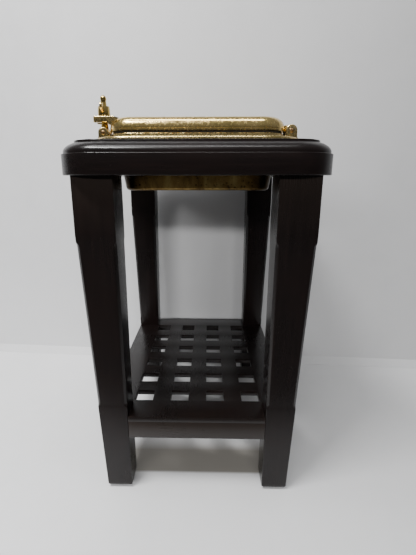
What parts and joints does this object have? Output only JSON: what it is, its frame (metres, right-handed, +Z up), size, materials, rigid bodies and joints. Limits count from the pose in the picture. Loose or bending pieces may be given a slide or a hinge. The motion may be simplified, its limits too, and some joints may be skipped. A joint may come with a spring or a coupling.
{
  "type": "lidded basin on a wooden stand",
  "caption": "Dark wooden stand with a grating shelf, holding a closed brass basin under a hinged, glazed brass lid held down by swing bolts with wing nuts.",
  "frame": {"origin": "on the floor, under the middle of the stand", "axes": "+Z up, +Y from the front to the back along the longer side of the top, +X towards the hinges"},
  "size_m": [0.414, 0.548, 0.6954],
  "materials": {
    "dark_wood": "dark espresso stain under semi-gloss lacquer",
    "brass": "cast brass, polished on top and worn, darker in the hollows",
    "basin_brass": "mottled brown brass with dark pits",
    "clear_glass": "clear plate glass with ground edges",
    "black_rubber": "black, matt",
    "glide_rubber": "black, matt",
    "steel_screw": "plain"
  },
  "bodies": {
    "stand": {"table_top": "dark_wood", "shelf_grating": "dark_wood", "rail_front": "dark_wood", "rail_rear": "dark_wood", "rail_left": "dark_wood", "rail_right": "dark_wood", "leg_front_left": "dark_wood", "leg_front_right": "dark_wood", "leg_rear_left": "dark_wood", "leg_rear_right": "dark_wood", "glide_front_left": "glide_rubber", "glide_front_right": "glide_rubber", "glide_rear_left": "glide_rubber", "glide_rear_right": "glide_rubber", "basin": "basin_brass", "porthole_frame": "brass", "hinge_pin_front": "brass", "dog_pin_front": "brass", "hinge_pin_rear": "brass", "dog_pin_rear": "brass", "frame_screw_1": "brass", "frame_screw_2": "brass", "frame_screw_3": "brass", "frame_screw_4": "brass", "frame_screw_5": "brass", "frame_screw_6": "brass", "frame_screw_7": "brass", "frame_screw_8": "brass", "frame_screw_9": "brass", "frame_screw_10": "brass", "frame_screw_11": "brass", "frame_screw_12": "brass", "shelf_screw_1": "steel_screw", "shelf_screw_2": "steel_screw", "shelf_screw_3": "steel_screw", "shelf_screw_4": "steel_screw"},
    "lid": {"lid_ring": "brass", "lid_gasket": "black_rubber", "glass_pane": "clear_glass", "glass_retainer": "brass", "retainer_screw_1": "brass", "retainer_screw_2": "brass", "retainer_screw_3": "brass", "retainer_screw_4": "brass", "retainer_screw_5": "brass", "retainer_screw_6": "brass", "retainer_screw_7": "brass", "retainer_screw_8": "brass"},
    "swing_bolt_front": {"swing_bolt_front": "brass"},
    "dog_washer_front": {"dog_washer_front": "brass"},
    "wing_nut_front": {"wing_nut_front": "brass"},
    "swing_bolt_rear": {"swing_bolt_rear": "brass"},
    "dog_washer_rear": {"dog_washer_rear": "brass"},
    "wing_nut_rear": {"wing_nut_rear": "brass"}
  },
  "joints": [
    {"name": "lid_hinge", "type": "hinge", "parent": "stand", "child": "lid", "pos_m": [0.15, 0, 0.641], "axis": [0, 1, 0], "range_deg": [0, 175]},
    {"name": "dog_front_swing", "type": "hinge", "parent": "stand", "child": "swing_bolt_front", "pos_m": [-0.15, -0.168, 0.6385], "axis": [0, -1, 0], "range_deg": [0, 95]},
    {"name": "washer_front_lift", "type": "slide", "parent": "swing_bolt_front", "child": "dog_washer_front", "axis": [0, 0, 1], "range_m": [0, 0.012]},
    {"name": "nut_front_spin", "type": "hinge", "parent": "dog_washer_front", "child": "wing_nut_front", "pos_m": [-0.15, -0.168, 0.665], "axis": [0, 0, 1], "range_deg": [0, 2160]},
    {"name": "dog_rear_swing", "type": "hinge", "parent": "stand", "child": "swing_bolt_rear", "pos_m": [-0.15, 0.168, 0.6385], "axis": [0, -1, 0], "range_deg": [0, 95]},
    {"name": "washer_rear_lift", "type": "slide", "parent": "swing_bolt_rear", "child": "dog_washer_rear", "axis": [0, 0, 1], "range_m": [0, 0.012]},
    {"name": "nut_rear_spin", "type": "hinge", "parent": "dog_washer_rear", "child": "wing_nut_rear", "pos_m": [-0.15, 0.168, 0.665], "axis": [0, 0, 1], "range_deg": [0, 2160]}
  ],
  "couplings": [
    {"joint": "washer_front_lift", "follows": "nut_front_spin", "m_per_rad": 0.0003183},
    {"joint": "washer_rear_lift", "follows": "nut_rear_spin", "m_per_rad": 0.0003183}
  ]
}
